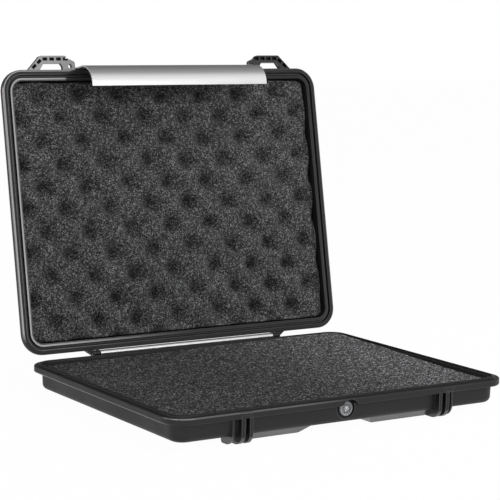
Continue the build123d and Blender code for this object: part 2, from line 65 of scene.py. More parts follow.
RIM_HALF = (187.0 * MM, 141.7 * MM)  # half the case's width and depth at the rim
RIM_CORNER = 22.0 * MM
RIM_THICKNESS = 6.8 * MM
FOOT_TOP = 7.8 * MM - PARTING_Z  # where the raised bands meet the panel, from the parting plane
FOAM_CORNER = 9.8 * MM
VENT_NOTCH = (11.5 * MM, 6.1 * MM)  # half width and depth of the foam's notch behind the vent
LOOPS = ("strap_loop_right", "strap_loop_left")
BARS = ("latch_bar", "hinge_bar")
PINS = ("hinge_pin_right", "hinge_pin_left", "latch_pin_right", "latch_pin_left")
SCREWS_AND_RIVETS = ("hinge_bar_screws", "loop_rivets_right", "loop_rivets_left")

RUBBER = (0.03, 0.03, 0.03)
STEEL = (0.5, 0.5, 0.51)
WHITE = (1, 1, 1, 1)


# ---------------------------------------- sizes and colours


class FoamSizes(bpy.types.PropertyGroup):
    """Shape of the foam lining."""

    cell_width: bpy.props.FloatProperty(
        name="Cell width",
        description="Distance between hollows along the hinge",
        default=47.3 * MM,
        subtype="DISTANCE",
    )
    cell_depth: bpy.props.FloatProperty(
        name="Cell depth",
        description="Distance between hollows across the lid",
        default=46.1 * MM,
        subtype="DISTANCE",
    )
    hollow: bpy.props.FloatProperty(
        name="Hollow",
        description="How far the hollows sink behind the peaks of the lid's foam",
        default=11.0 * MM,
        subtype="DISTANCE",
    )
    ridge_face: bpy.props.FloatProperty(
        name="Peak face",
        description="From the parting plane to the peaks of the lid's foam",
        default=3.4 * MM,
        subtype="DISTANCE",
    )
    wave: bpy.props.FloatProperty(
        name="Wave",
        description="Height of the slow unevenness of the base's flat foam",
        default=0.35 * MM,
        subtype="DISTANCE",
    )
    lift: bpy.props.FloatProperty(
        name="Lift",
        description="How far the base's foam swells towards its back corner by the hinge",
        default=3.6 * MM,
        subtype="DISTANCE",
    )
    pore: bpy.props.FloatProperty(
        name="Pore size",
        description="Size of the foam's open cells",
        default=1.05 * MM,
        subtype="DISTANCE",
    )


class CaseColours(bpy.types.PropertyGroup):
    """Colours of the finishes."""

    shell: bpy.props.FloatVectorProperty(
        name="Shell",
        description="Moulded plastic of the two trays",
        default=(0.009, 0.009, 0.0095),
        subtype="COLOR",
        min=0,
        max=1,
    )
    loop: bpy.props.FloatVectorProperty(
        name="Strap loops",
        description="Moulded plastic of the strap loops",
        default=(0.008, 0.008, 0.0085),
        subtype="COLOR",
        min=0,
        max=1,
    )
    foam: bpy.props.FloatVectorProperty(
        name="Foam",
        description="Open-cell foam of the lining",
        default=(0.037, 0.037, 0.038),
        subtype="COLOR",
        min=0,
        max=1,
    )
    bar: bpy.props.FloatVectorProperty(
        name="Bars",
        description="Aluminium of the latch bar and the hinge bar",
        default=(0.86, 0.86, 0.865),
        subtype="COLOR",
        min=0,
        max=1,
    )
    vent: bpy.props.FloatVectorProperty(
        name="Vent",
        description="Plastic of the pressure vent",
        default=(0.33, 0.34, 0.35),
        subtype="COLOR",
        min=0,
        max=1,
    )


class StudioSizes(bpy.types.PropertyGroup):
    """Camera and light."""

    azimuth: bpy.props.FloatProperty(
        name="Azimuth",
        description="Camera's turn round the case, from the front towards its left",
        default=math.radians(33.029),
        subtype="ANGLE",
    )
    elevation: bpy.props.FloatProperty(
        name="Elevation",
        description="Camera's angle above the floor",
        default=math.radians(7.78),
        subtype="ANGLE",
    )
    roll: bpy.props.FloatProperty(
        name="Roll",
        description="Camera's turn about its own axis",
        default=math.radians(1.0226),
        subtype="ANGLE",
    )
    distance: bpy.props.FloatProperty(
        name="Distance",
        description="Camera to the point that it looks at",
        default=1.7314,
        subtype="DISTANCE",
    )
    target: bpy.props.FloatVectorProperty(
        name="Target",
        description="Point that the camera looks at",
        default=(-20.2 * MM, 0, 151.1 * MM),
        subtype="XYZ",
    )
    lens: bpy.props.FloatProperty(
        name="Lens",
        description="Focal length in millimetres",
        default=130.506,
        subtype="DISTANCE_CAMERA",
    )
    ambient: bpy.props.FloatProperty(
        name="Ambient light",
        description="Strength of the light from all round",
        default=0.4,
        min=0,
    )
    key: bpy.props.FloatProperty(
        name="Softbox power",
        description="Power that each softbox has a share of",
        default=12.0,
        min=0,
        subtype="POWER",
    )


# ---------------------------------------- surfaces


def add_piece(name, points, faces, mirrored=False):
    """A smooth mesh object from rows of points and arrays of faces. Where the points are a
    mirror image, the faces are turned round, so that they point outwards again."""
    if mirrored:
        faces = [part[:, ::-1] for part in faces]
    mesh = bpy.data.meshes.new(name)
    mesh.from_pydata(points, [], [face for part in faces for face in part.tolist()])
    mesh.validate()
    mesh.shade_smooth()
    piece = bpy.data.objects.new(name, mesh)
    bpy.context.scene.collection.objects.link(piece)
    return piece


def mark(piece, name, values):
    """Keeps one number for each point on the piece, for its material to read."""
    attribute = piece.data.attributes.new(name, "FLOAT", "POINT")
    attribute.data.foreach_set("value", values.astype(np.float32))


def turned(points, angle):
    """Points turned about the hinge: y and z rotate by the angle round its axis, and x stays.
    The open angle takes the shut lid to the open pose, and its negative takes it back."""
    y = points[:, 1] - HINGE_Y
    z = points[:, 2] - HINGE_Z
    cos, sin = math.cos(angle), math.sin(angle)
    return np.stack(
        [points[:, 0], HINGE_Y + y * cos + z * sin, HINGE_Z - y * sin + z * cos], axis=1
    )


def shut_box(node):
    """Lowest and highest corner of a lid node once the lid is shut."""
    mesh = frame["nodes"][node].data
    points = np.empty(len(mesh.vertices) * 3)
    mesh.vertices.foreach_get("co", points)
    points = turned(points.reshape(-1, 3), -OPEN_ANGLE)
    return points.min(axis=0), points.max(axis=0)


def grid_places(x_lines, y_lines):
    """The x and y of every crossing of the lines, row after row."""
    x, y = np.meshgrid(x_lines, y_lines)
    return x.ravel(), y.ravel()


def grid_faces(rows, columns):
    """Four-sided faces between neighbouring points of a rows by columns grid."""
    corner = np.arange((rows - 1) * columns).reshape(rows - 1, columns)[:, :-1].ravel()
    return np.stack([corner, corner + 1, corner + columns + 1, corner + columns], axis=1)


def band_faces(first, second):
    """Four-sided faces between two closed rings of point numbers."""
    return np.stack([first, second, np.roll(second, -1), np.roll(first, -1)], axis=1)


def fan_faces(ring, pole):
    """Three-sided faces between a closed ring of point numbers and one point."""
    return np.stack([ring, np.roll(ring, -1), np.full(len(ring), pole)], axis=1)


def grid_lines(half, step, edge, extra=()):
    """Places of grid lines from -half to half: even steps, and closer ones within the edge's
    rounding at both ends and beside each extra place."""
    count = int(2 * half / step)
    middle = np.linspace(-half + edge, half - edge, count)
    close = edge * (1 - np.cos(np.linspace(0, math.pi / 2, 5)[:-1]))
    lines = np.concatenate([middle, close - half, half - close, np.array(extra)])
    return np.unique(lines.round(7))


def sheet(half_x, half_y, corner, step, edge, thickness, foot, relief, notch=(0, 0)):
    """A closed foam sheet with rounded plan corners, as points (x, y, depth) and faces.

    The face is a grid of points: a square grid whose corners are drawn in along rays to the
    plan radius, each point sunk by relief(x, y) and, nearer to the border than edge, by the
    quarter circle edge - sqrt(edge^2 - (edge - d)^2), d being the distance to the border.
    Rings that repeat the grid's border run down the side, turn in along a quarter circle of
    radius foot, and shrink over the back to one point. A notch (half width, depth) moves the
    border at -y inwards where |x| is less than its half width. Depth runs into the sheet, so
    the grid's own faces are turned round to point out of it."""
    notch_half, notch_depth = notch
    wall = notch_half + 0.3 * MM
    beside = (-wall, -notch_half, notch_half, wall)
    x_lines = grid_lines(half_x, step, edge, beside if notch_half else ())
    y_lines = grid_lines(half_y, step, edge)
    x, y = grid_places(x_lines, y_lines)

    core_x, core_y = half_x - corner, half_y - corner  # the corners' centres
    over_x = np.abs(x) - core_x
    over_y = np.abs(y) - core_y
    in_corner = (over_x > 0) & (over_y > 0)
    reach = np.maximum(over_x, over_y)
    shrink = np.where(in_corner, reach / np.hypot(over_x, over_y).clip(1e-9), 1)
    x = np.where(in_corner, np.sign(x) * (core_x + over_x * shrink), x)
    y = np.where(in_corner, np.sign(y) * (core_y + over_y * shrink), y)
    over_x = np.abs(x) - core_x
    over_y = np.abs(y) - core_y
    outside = np.hypot(over_x.clip(0), over_y.clip(0)) + np.maximum(over_x, over_y).clip(max=0)
    border_distance = (corner - outside).clip(0, edge)
    rounding = edge - np.sqrt(edge**2 - (edge - border_distance) ** 2)
    near_notch = ((half_y - y) / (2 * half_y)) ** 6
    moved = y + np.where(np.abs(x) <= notch_half, notch_depth, 0) * near_notch
    face = np.stack([x, moved, relief(x, y) + rounding], axis=1)

    columns, rows = len(x_lines), len(y_lines)
    number = np.arange(rows * columns).reshape(rows, columns)
    border = np.concatenate(
        [number[0, :-1], number[:-1, -1], number[-1, :0:-1], number[:0:-1, 0]]
    )
    rim = face[border]
    inner_x = x[border] - x[border].clip(-core_x, core_x)
    inner_y = y[border] - y[border].clip(-core_y, core_y)
    length = np.hypot(inner_x, inner_y)
    normal = np.stack([inner_x / length, inner_y / length], axis=1)
    rings = []
    for part in (0.35, 0.7, 1.0):
        ring = rim.copy()
        ring[:, 2] += (thickness - foot - rim[:, 2]) * part
        rings.append(ring)
    for turn in np.linspace(0, math.pi / 2, 5)[1:]:
        ring = rim.copy()
        ring[:, :2] -= normal * foot * (1 - math.cos(turn))
        ring[:, 2] = thickness - foot * (1 - math.sin(turn))
        rings.append(ring)
    back = rings[-1]
    for shrunk in (0.66, 0.33):
        ring = back.copy()
        ring[:, :2] *= shrunk
        rings.append(ring)
    points = np.concatenate([face] + rings + [np.array([[0, 0, thickness]])])

    ring_numbers = [border]
    for place in range(len(rings)):
        start = len(face) + place * len(border)
        ring_numbers.append(np.arange(start, start + len(border)))
    faces = [grid_faces(rows, columns)[:, ::-1]]
    faces += [band_faces(b, a) for a, b in zip(ring_numbers, ring_numbers[1:])]
    faces.append(fan_faces(ring_numbers[-1], len(points) - 1))
    return points, faces


def egg_crate(sizes):
    """Relief of the lid's foam: with u and v the place in a cell across and along the lid, the
    foam sinks by hollow * (e^1.4c - e^-1.4) / (e^1.4 - e^-1.4) behind its peaks, where c is
    cos(2 pi u) * cos(2 pi v). So the hollows, at c = 1, are narrow and deep and the ridges
    between them broad. Slow sines move and deepen the cells a little, as cut foam does."""

    first_x, first_y = 17.5 * MM, -1.3 * MM  # the middle of one hollow
    sharpness = 1.4
    shallowest, spread_out = math.exp(-sharpness), 2 * math.sinh(sharpness)

    def relief(x, y):
        shifted_x = x - first_x + 1.3 * MM * np.sin(23 * y + 41 * x + 0.7)
        shifted_y = y - first_y + 1.5 * MM * np.sin(31 * x - 17 * y + 1.9)
        across = np.cos(2 * math.pi * shifted_x / sizes.cell_width)
        along = np.cos(2 * math.pi * shifted_y / sizes.cell_depth)
        depth = (np.exp(sharpness * across * along) - shallowest) / spread_out
        uneven = 1 + 0.12 * np.sin(37 * x + 0.4) * np.sin(29 * y + 2.1)
        lumps = 0.22 * MM * np.sin(410 * x + 3 * np.sin(150 * y)) * np.sin(370 * y + 1.1)
        return sizes.ridge_face + sizes.hollow * depth * uneven + lumps

    return relief


def foam_painted_shading(points, half, ridge_face, hollow):
    """Painted light and shade for the lid's foam, a factor on its colour: 1 on the ridges, falling
    in step with the depth to 0.65 in the hollows as painted shade, and rising to 1.5 along the
    border that faces the hinge's +x end as a painted highlight."""
    share = ((points[:, 2] - ridge_face) / hollow - 0.2).clip(0, 0.8) / 0.8
    border = smooth_step(points[:, 1], half[1] - 5 * MM, half[1] - 1 * MM)
    corner = smooth_step(points[:, 0], -0.06, 0.12)
    return 1 - 0.35 * share + 0.5 * border * corner


def smooth_step(value, low, high):
    """0 below low, 1 above high, and 3 t^2 - 2 t^3 between them."""
    t = ((value - low) / (high - low)).clip(0, 1)
    return t * t * (3 - 2 * t)


def slow_waves(level, wave, lift):
    """Relief of a cut foam face: a level, plus wave times a product and a sum of slow sines,
    less a smooth lift towards the back and, four times as much, towards its +x corner."""

    def relief(x, y):
        first = np.sin(19 * x + 1.2) * np.sin(27 * y + 0.3)
        second = np.sin(55 * x - 31 * y + 2.0)
        corner = smooth_step(x, -0.175, 0.175) * smooth_step(y, -0.11, 0.12)
        raised = lift * (0.25 * smooth_step(y, 0.04, 0.125) + corner)
        return level + wave * (0.7 * first + 0.3 * second) - raised

    return relief


def rounded_path(half_x, half_y, corner, steps):
    """Points and outward normals along a rectangle with round corners: each corner is a quarter
    circle of that radius about its centre, and straight runs join them."""
    turn = np.linspace(0, math.pi / 2, steps)
    angle = np.concatenate([turn + quarter * math.pi / 2 for quarter in range(4)])
    side_x = np.repeat([1, -1, -1, 1], steps)
    side_y = np.repeat([1, 1, -1, -1], steps)
    normal = np.stack([np.cos(angle), np.sin(angle)], axis=1)
    centre = np.stack([side_x * (half_x - corner), side_y * (half_y - corner)], axis=1)
    return centre + corner * normal, normal


def swept_ring(path, normal, profile):
    """A closed profile (out, up) carried round a closed path: point = path + out * normal, at
    height up."""
    flat = path[:, None, :] + profile[None, :, :1] * normal[:, None, :]
    up = np.broadcast_to(profile[None, :, 1:], (len(path), len(profile), 1))
    points = np.concatenate([flat, up], axis=2).reshape(-1, 3)
    number = np.arange(len(path) * len(profile)).reshape(len(path), len(profile))
    following = np.roll(number, -1, axis=0)
    quads = [
        number,
        np.roll(number, -1, axis=1),
        np.roll(following, -1, axis=1),
        following,
    ]
    return points, [np.stack([part.ravel() for part in quads], axis=1)]


def disc(radius, thickness, edge, rings, spokes, relief):
    """A closed disc, as points (x, y, depth) and faces: rings of points run out from the middle
    of the face, each sunk by relief(r, angle), turn over the rim along a quarter circle of
    radius edge, go down the side and back in to the middle of the back."""
    angle = np.linspace(0, 2 * math.pi, spokes, endpoint=False)
    reach = np.linspace(0, radius - edge, rings)[1:]
    face_r, face_angle = np.meshgrid(reach, angle, indexing="ij")
    turn = np.linspace(0, math.pi / 2, 4)[1:]
    rim_r = np.concatenate([radius - edge + edge * np.sin(turn), [radius, radius * 0.5]])
    rim_depth = np.concatenate([edge - edge * np.cos(turn), [thickness, thickness]])
    all_r = np.concatenate([face_r, np.repeat(rim_r[:, None], spokes, axis=1)])
    depth = np.concatenate(
        [relief(face_r, face_angle), np.repeat(rim_depth[:, None], spokes, axis=1)]
    )
    rows = len(all_r)
    points = np.stack(
        [all_r * np.cos(angle)[None, :], all_r * np.sin(angle)[None, :], depth], axis=2
    ).reshape(-1, 3)
    middle = float(relief(np.zeros(1), np.zeros(1))[0])
    points = np.concatenate([points, [[0, 0, middle], [0, 0, thickness]]])
    number = np.arange(rows * spokes).reshape(rows, spokes)
    faces = [band_faces(b, a) for a, b in zip(number, number[1:])]
    faces.append(fan_faces(number[0], len(points) - 2)[:, ::-1])
    faces.append(fan_faces(number[-1], len(points) - 1))
    return points, faces


def star_and_dimples(radius):
    """Relief of the vent's disc: a boss stands in the middle, whose edge is a six-pointed star
    at radius * (0.46 + 0.09 cos 6a), and the disc sinks behind it by 0.35 mm along a logistic
    curve 0.12 mm wide. Twelve dimples, each a Gaussian bell 0.55 mm deep and 0.42 mm wide,
    stand on a circle at 0.72 of the radius."""
    circle = radius * 0.72
    pitch = math.pi / 6

    def relief(r, angle):
        star_edge = radius * (0.46 + 0.09 * np.cos(6 * angle))
        boss = 1 / (1 + np.exp((r - star_edge) / (0.12 * MM)))
        along = circle * (angle - np.round(angle / pitch) * pitch)
        dimple = np.exp(-((r - circle) ** 2 + along**2) / (0.42 * MM) ** 2)
        return 0.35 * MM * (1 - boss) + 0.55 * MM * dimple

    return relief


# ---------------------------------------- nodes


def plug(tree, node, sockets):
    """Gives each socket of the node a constant or another node's output."""
    for name, value in sockets.items():
        if isinstance(value, bpy.types.NodeSocket):
            tree.links.new(value, node.inputs[name])
        else:
            node.inputs[name].default_value = value


def put(tree, kind, sockets=None, **settings):
    """A node of that kind, with those settings and sockets."""
    node = tree.nodes.new(kind)
    for name, value in settings.items():
        setattr(node, name, value)
    plug(tree, node, sockets or {})
    return node


def maths(tree, operation, *values):
    """All values joined by one operation, from first to last, with a Math node for each pair."""
    joined = values[0]
    for value in values[1:]:
        sockets = {0: joined, 1: value}
        joined = put(tree, "ShaderNodeMath", sockets, operation=operation).outputs[0]
    return joined


def noise(tree, place, scale, detail, roughness):
    """Output of a Noise Texture at that place."""
    sockets = {"Vector": place, "Scale": scale, "Detail": detail, "Roughness": roughness}
    return put(tree, "ShaderNodeTexNoise", sockets).outputs["Fac"]


def spread(tree, value, low, high, out_low=0.0, out_high=1.0):
    """The value between low and high, smoothly spread from out_low to out_high."""
    sockets = {"Value": value, 1: low, 2: high, 3: out_low, 4: out_high}
    node = put(tree, "ShaderNodeMapRange", sockets, interpolation_type="SMOOTHSTEP")
    return node.outputs["Result"]


def blend(tree, share, first, second):
    """Colour between two colours."""
    sockets = {0: share, 6: first, 7: second}
    return put(tree, "ShaderNodeMix", sockets, data_type="RGBA").outputs[2]


def mixed(tree, share, first, second):
    """Shader between two shaders."""
    return put(tree, "ShaderNodeMixShader", {0: share, 1: first, 2: second}).outputs[0]


def object_place(tree, stretch=(1, 1, 1)):
    """Place on the piece itself, stretched along its axes."""
    place = put(tree, "ShaderNodeTexCoord").outputs["Object"]
    return put(tree, "ShaderNodeMapping", {"Vector": place, "Scale": stretch}).outputs[0]


def new_group(fill, values):
    """A node group named after fill, with a number as input for each value. Its outputs are
    what fill(tree, given) returns: numbers, and a normal where it has one."""
    tree = bpy.data.node_groups.new(fill.__name__, "ShaderNodeTree")
    for name, value in values.items():
        socket = tree.interface.new_socket(name, in_out="INPUT", socket_type="NodeSocketFloat")
        socket.default_value = value
    outputs = fill(tree, tree.nodes.new("NodeGroupInput").outputs)
    for name in outputs:
        kind = "NodeSocketVector" if name == "Normal" else "NodeSocketFloat"
        tree.interface.new_socket(name, in_out="OUTPUT", socket_type=kind)
    put(tree, "NodeGroupOutput", outputs)
    return tree


def effect(tree, fill, **values):
    """Outputs of a shared effect, with this material's own values for its inputs. fill makes
    its node group at the first use."""
    values = {name.replace("_", " "): value for name, value in values.items()}
    group = bpy.data.node_groups.get(fill.__name__) or new_group(fill, values)
    return put(tree, "ShaderNodeGroup", values, node_tree=group).outputs


def rounded_edges(tree, given):
    """Rounded edges and their wear: the normal rounds every edge by the radius, and the mask
    is where that normal leaves the face's own, broken up by noise."""
    rounded = put(tree, "ShaderNodeBevel", {"Radius": given["Radius"]}, samples=6).outputs[0]
    plain = put(tree, "ShaderNodeNewGeometry").outputs["Normal"]
    sockets = {0: rounded, 1: plain}
    likeness = put(tree, "ShaderNodeVectorMath", sockets, operation="DOT_PRODUCT")
    edge = spread(tree, likeness.outputs["Value"], 0.99, 0.75)
    rubbed = spread(tree, noise(tree, object_place(tree), 240.0, 4.0, 0.6), 0.42, 0.62)
    worn = maths(tree, "MULTIPLY", edge, rubbed, given["Wear"])
    return {"Wear mask": worn, "Edge": edge, "Normal": rounded}


def mould_grain(tree, given):
    """Fine spark-eroded grain of a mould: cells of the given size, and slow cloudiness."""
    place = object_place(tree)
    scale = maths(tree, "DIVIDE", 1.0, given["Cell size"])
    sockets = {"Vector": place, "Scale": scale}
    cells = put(tree, "ShaderNodeTexVoronoi", sockets, feature="SMOOTH_F1")
    fine = noise(tree, place, scale, 3.0, 0.6)
    height = maths(tree, "ADD", cells.outputs["Distance"], fine)
    return {"Height": height, "Cloud": noise(tree, place, 28.0, 3.0, 0.55), "Fine": fine}


def foam_pores(tree, given):
    """Open cells of cut foam: bright cell walls and dark pores of the given size. The more
    sparkle, the fewer and brighter the flecks."""
    place = object_place(tree)
    scale = maths(tree, "DIVIDE", 1.0, given["Pore size"])
    cells = put(tree, "ShaderNodeTexVoronoi", {"Vector": place, "Scale": scale}).outputs
    cell_shade = put(tree, "ShaderNodeSeparateColor", {"Color": cells["Color"]}).outputs[0]
    fleck = noise(tree, place, scale, 1.0, 0.6)
    patch = noise(tree, place, 95.0, 2.0, 0.5)
    sharp = maths(tree, "POWER", cell_shade, given["Sparkle"])
    level = maths(tree, "ADD", given["Sparkle"], 1.0)
    bright = maths(tree, "MULTIPLY", sharp, level, 0.08)
    grey = spread(tree, fleck, 0.42, 0.66, 0.0, 0.12)
    shade = maths(tree, "ADD", bright, grey, maths(tree, "MULTIPLY", patch, 0.04))
    return {"Shade": shade, "Height": maths(tree, "ADD", cells["Distance"], fleck)}


def shut_place(tree, given):
    """Place on the shut case: the object's place turned about the hinge by the angle, its height
    above the parting plane, and the way in from the rim. That is the rim's corner radius less
    the length of what lies beyond the corners' centres in x and y."""

    def vectors(operation, first, second=(0, 0, 0)):
        """Outputs of a Vector Math node."""
        sockets = {0: first, 1: second}
        return put(tree, "ShaderNodeVectorMath", sockets, operation=operation).outputs

    place, hinge = object_place(tree), (0, HINGE_Y, HINGE_Z)
    sockets = {"Vector": place, "Center": hinge, "Angle": given["Angle"]}
    shut = put(tree, "ShaderNodeVectorRotate", sockets, rotation_type="X_AXIS").outputs[0]
    too_high = 1.0  # nothing is so far up, so the height adds nothing
    centre = (RIM_HALF[0] - RIM_CORNER, RIM_HALF[1] - RIM_CORNER, too_high)
    beyond = vectors("SUBTRACT", vectors("ABSOLUTE", shut)[0], centre)[0]
    length = vectors("LENGTH", vectors("MAXIMUM", beyond)[0])["Value"]
    axes = put(tree, "ShaderNodeSeparateXYZ", {"Vector": shut}).outputs
    return {
        "Inset": maths(tree, "SUBTRACT", RIM_CORNER, length),
        "Height": maths(tree, "SUBTRACT", axes["Z"], PARTING_Z),
        "Backward": axes["Y"],
        "Sideways": axes["X"],
    }


def brushed_lines(tree, given):
    """Fine lines along x, as rolled and brushed metal has: noise drawn out along x."""
    scale = maths(tree, "DIVIDE", 1.0, given["Line width"])
    lines = noise(tree, object_place(tree, (0.012, 1, 1)), scale, 3.0, 0.6)
    return {"Lines": lines, "Cloud": noise(tree, object_place(tree), 22.0, 3.0, 0.5)}


def bump(tree, height, distance, normal=None, strength=1.0):
    """Normal of a bump of that height in metres, on top of another normal."""
    sockets = {"Height": height, "Distance": distance, "Strength": strength}
    if normal is not None:
        sockets["Normal"] = normal
    return put(tree, "ShaderNodeBump", sockets).outputs[0]


def finish(name, colour, sockets):
    """A material with one Principled BSDF. sockets(tree) gives what is set on the shader."""
    material = bpy.data.materials.new(name)
    material.use_nodes = True
    material.diffuse_color = (*colour, 1)
    tree = material.node_tree
    plug(tree, tree.nodes["Principled BSDF"], sockets(tree))
    return material


def scaled(colour, factor):
    """The colour times a factor, with full alpha."""
    return (*(part * factor for part in colour), 1)


def plastic(name, colour, grain, roughness, wear, edge_radius, polish=None, specular=0.5):
    """Moulded plastic: fine grain, cloudy sheen, and paler rubbed edges. polish(tree) is the
    share of smooth gloss from place to place; the rounded edges have it anyway."""

    def sockets(tree):
        edges = effect(tree, rounded_edges, Radius=edge_radius, Wear=wear)
        texture = effect(tree, mould_grain, Cell_size=grain)
        tint = blend(tree, texture["Cloud"], scaled(colour, 0.88), scaled(colour, 1.14))
        tint = blend(tree, spread(tree, texture["Fine"], 0.3, 0.75), tint, scaled(colour, 1.35))
        tint = blend(tree, edges["Wear mask"], tint, scaled(colour, 3.0))
        rough = spread(tree, texture["Cloud"], 0.3, 0.7, roughness - 0.04, roughness + 0.05)
        normal = bump(tree, texture["Height"], 0.05 * MM, edges["Normal"], 0.35)
        smooth = edges["Edge"]
        if polish:
            smooth = maths(tree, "MAXIMUM", smooth, polish(tree))
        return {
            "Base Color": tint,
            "Roughness": rough,
            "Specular IOR Level": specular,
            "Coat Weight": smooth,
            "Coat Roughness": 0.12,
            "Coat IOR": 2.15,
            "Normal": normal,
        }

    return finish(name, colour, sockets)


def foam(name, colour, pore, sparkle, fuzz):
    """Cut open-cell foam: dark pores, pale cell walls, and a dull surface with bumps of fuzz's
    height. A per-point attribute on the piece scales its colour as painted light and shade."""

    def sockets(tree):
        pores = effect(tree, foam_pores, Pore_size=pore, Sparkle=sparkle)
        # painted light and shade: the attribute darkens or brightens the foam's colour in place of
        # real light
        painted_shading_share = put(tree, "ShaderNodeAttribute", attribute_name="openness").outputs["Fac"]
        shade = maths(tree, "MULTIPLY", pores["Shade"], painted_shading_share)
        tint = blend(tree, shade, scaled(colour, 0.02), scaled(colour, 14.0))
        return {
            "Base Color": tint,
            "Roughness": 0.95,
            "Specular IOR Level": 0.15,
            "Normal": bump(tree, pores["Height"], fuzz, None, 0.6),
        }

    return finish(name, colour, sockets)


def aluminium(name, colour, roughness):
    """Satin aluminium with fine lines along the bar."""

    def sockets(tree):
        edges = effect(tree, rounded_edges, Radius=0.4 * MM, Wear=0.5)
        lines = effect(tree, brushed_lines, Line_width=0.35 * MM)
        tint = blend(tree, lines["Lines"], scaled(colour, 0.9), scaled(colour, 1.08))
        tint = blend(tree, edges["Wear mask"], tint, (0.92, 0.92, 0.92, 1))
        cloud = maths(tree, "MULTIPLY", lines["Cloud"], 0.06)
        streak = maths(tree, "MULTIPLY", lines["Lines"], 0.1)
        rough = maths(tree, "ADD", cloud, streak, roughness - 0.08)
        return {
            "Base Color": tint,
            "Metallic": 1.0,
            "Roughness": rough,
            "Normal": bump(tree, lines["Lines"], 0.02 * MM, edges["Normal"], 0.12),
        }

    return finish(name, colour, sockets)


def steel(name, colour):
    """Turned steel with a faint lengthwise grain."""

    def sockets(tree):
        edges = effect(tree, rounded_edges, Radius=0.2 * MM, Wear=0.6)
        lines = effect(tree, brushed_lines, Line_width=0.2 * MM)
        tint = blend(tree, lines["Lines"], scaled(colour, 0.85), scaled(colour, 1.1))
        rough = spread(tree, lines["Lines"], 0.3, 0.7, 0.25, 0.4)
        return {
            "Base Color": blend(tree, edges["Wear mask"], tint, (0.8, 0.8, 0.8, 1)),
            "Metallic": 1.0,
            "Roughness": rough,
            "Normal": bump(tree, lines["Lines"], 0.02 * MM, edges["Normal"], 0.4),
        }

    return finish(name, colour, sockets)


def dress(material, *nodes):
    """Puts the material on CAD nodes."""
    for node in nodes:
        for place in frame["nodes"][node].material_slots:
            place.material = material


def place_piece(piece, body, slot, material, *nodes):
    """Lets a new piece ride on a body, in place of its CAD nodes, in the given material. slot is
    not used.
    """
    piece.data.materials.append(material)
    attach(piece, body)
    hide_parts(*nodes)


# ---------------------------------------- operators


class LidFoam(bpy.types.Operator):
    """The lid's egg-crate foam lining"""

    bl_idname = "case.lid_foam"
    bl_label = "Lid foam"

    def execute(self, context):
        sizes = context.scene.case_foam
        low, high = shut_box("lid_foam")
        half = (high - low) / 2
        points, faces = sheet(
            half[0],
            half[1],
            corner=FOAM_CORNER,
            step=1.25 * MM,
            edge=1.6 * MM,
            thickness=high[2] - PARTING_Z,
            foot=3.0 * MM,
            relief=egg_crate(sizes),
        )
        # painted shade in the hollows and a painted highlight along the hinge border, kept on the
        # piece for its colour
        openness = foam_painted_shading(points, half, sizes.ridge_face, sizes.hollow)
        points[:, 2] += PARTING_Z
        piece = add_piece("lid_foam_lining", turned(points, OPEN_ANGLE), faces)
        mark(piece, "openness", openness)
        colour = context.scene.case_colours.foam
        material = foam("lid_foam_cells", colour, sizes.pore, sparkle=4.5, fuzz=0.6 * MM)
        place_piece(piece, "lid", "lid_foam", material, "lid_foam")
        return {"FINISHED"}


class BaseFoam(bpy.types.Operator):
    """The base's flat foam block and the foam pad under it"""

    bl_idname = "case.base_foam"
    bl_label = "Base foam"

    def execute(self, context):
        sizes = context.scene.case_foam
        colour = context.scene.case_colours.foam
        material = foam("base_foam_cells", colour, sizes.pore * 1.2, sparkle=8.0, fuzz=1.2 * MM)
        for node, step, edge, foot in (
            ("base_foam_block", 1.6 * MM, 1.4 * MM, 0.8 * MM),
            ("base_foam_pad", 4.0 * MM, 0.8 * MM, 3.0 * MM),
        ):
            low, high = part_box(node)
            on_top = node == "base_foam_block"
            wave, lift = (sizes.wave, sizes.lift) if on_top else (0.0, 0.0)
            points, faces = sheet(
                high.x,
                high.y,
                corner=FOAM_CORNER,
                step=step,
                edge=edge,
                thickness=PARTING_Z - low.z,
                foot=foot,
                relief=slow_waves(PARTING_Z - high.z + wave, wave, lift),
                notch=VENT_NOTCH,
            )
            points[:, 2] = PARTING_Z - points[:, 2]
            piece = add_piece(f"{node}_cut", points, faces, mirrored=True)
            # painted light: the foam's colour is made paler towards +x, where more light falls on
            # it
            mark(piece, "openness", 0.76 + 0.96 * smooth_step(points[:, 0], -0.04, 0.19))
            place_piece(piece, "base", "base_foam", material, node)
        return {"FINISHED"}


class LidSeal(bpy.types.Operator):
    """The sealing bead on the floor of the lid's groove"""

    bl_idname = "case.lid_seal"
    bl_label = "Lid seal"

    def execute(self, context):
        low, high = shut_box("lid_seal")
        half_width = 1.5 * MM
        height = high[2] - low[2]
        turn = np.linspace(0, math.pi, 13)
        # half an ellipse: half the width times cos t, and the height times sin t
        crown = np.stack([half_width * np.cos(turn), high[2] - height * np.sin(turn)], axis=1)
        half_x, half_y = (high[:2] - low[:2]) / 2 - half_width
        path, normal = rounded_path(half_x, half_y, corner=15.5 * MM, steps=24)
        points, faces = swept_ring(path, normal, crown)
        piece = add_piece("lid_seal_bead", turned(points, OPEN_ANGLE), faces)

        def sockets(tree):
            texture = effect(tree, mould_grain, Cell_size=0.5 * MM)
            tint = blend(tree, texture["Cloud"], scaled(RUBBER, 0.6), scaled(RUBBER, 1.0))
            rough = spread(tree, texture["Fine"], 0.3, 0.7, 0.45, 0.6)
            normal = bump(tree, texture["Height"], 0.03 * MM, None, 0.3)
            return {"Base Color": tint, "Roughness": rough, "Normal": normal}

        material = finish("seal_rubber", RUBBER, sockets)
        place_piece(piece, "lid", "seal_rubber", material, "lid_seal")
        return {"FINISHED"}


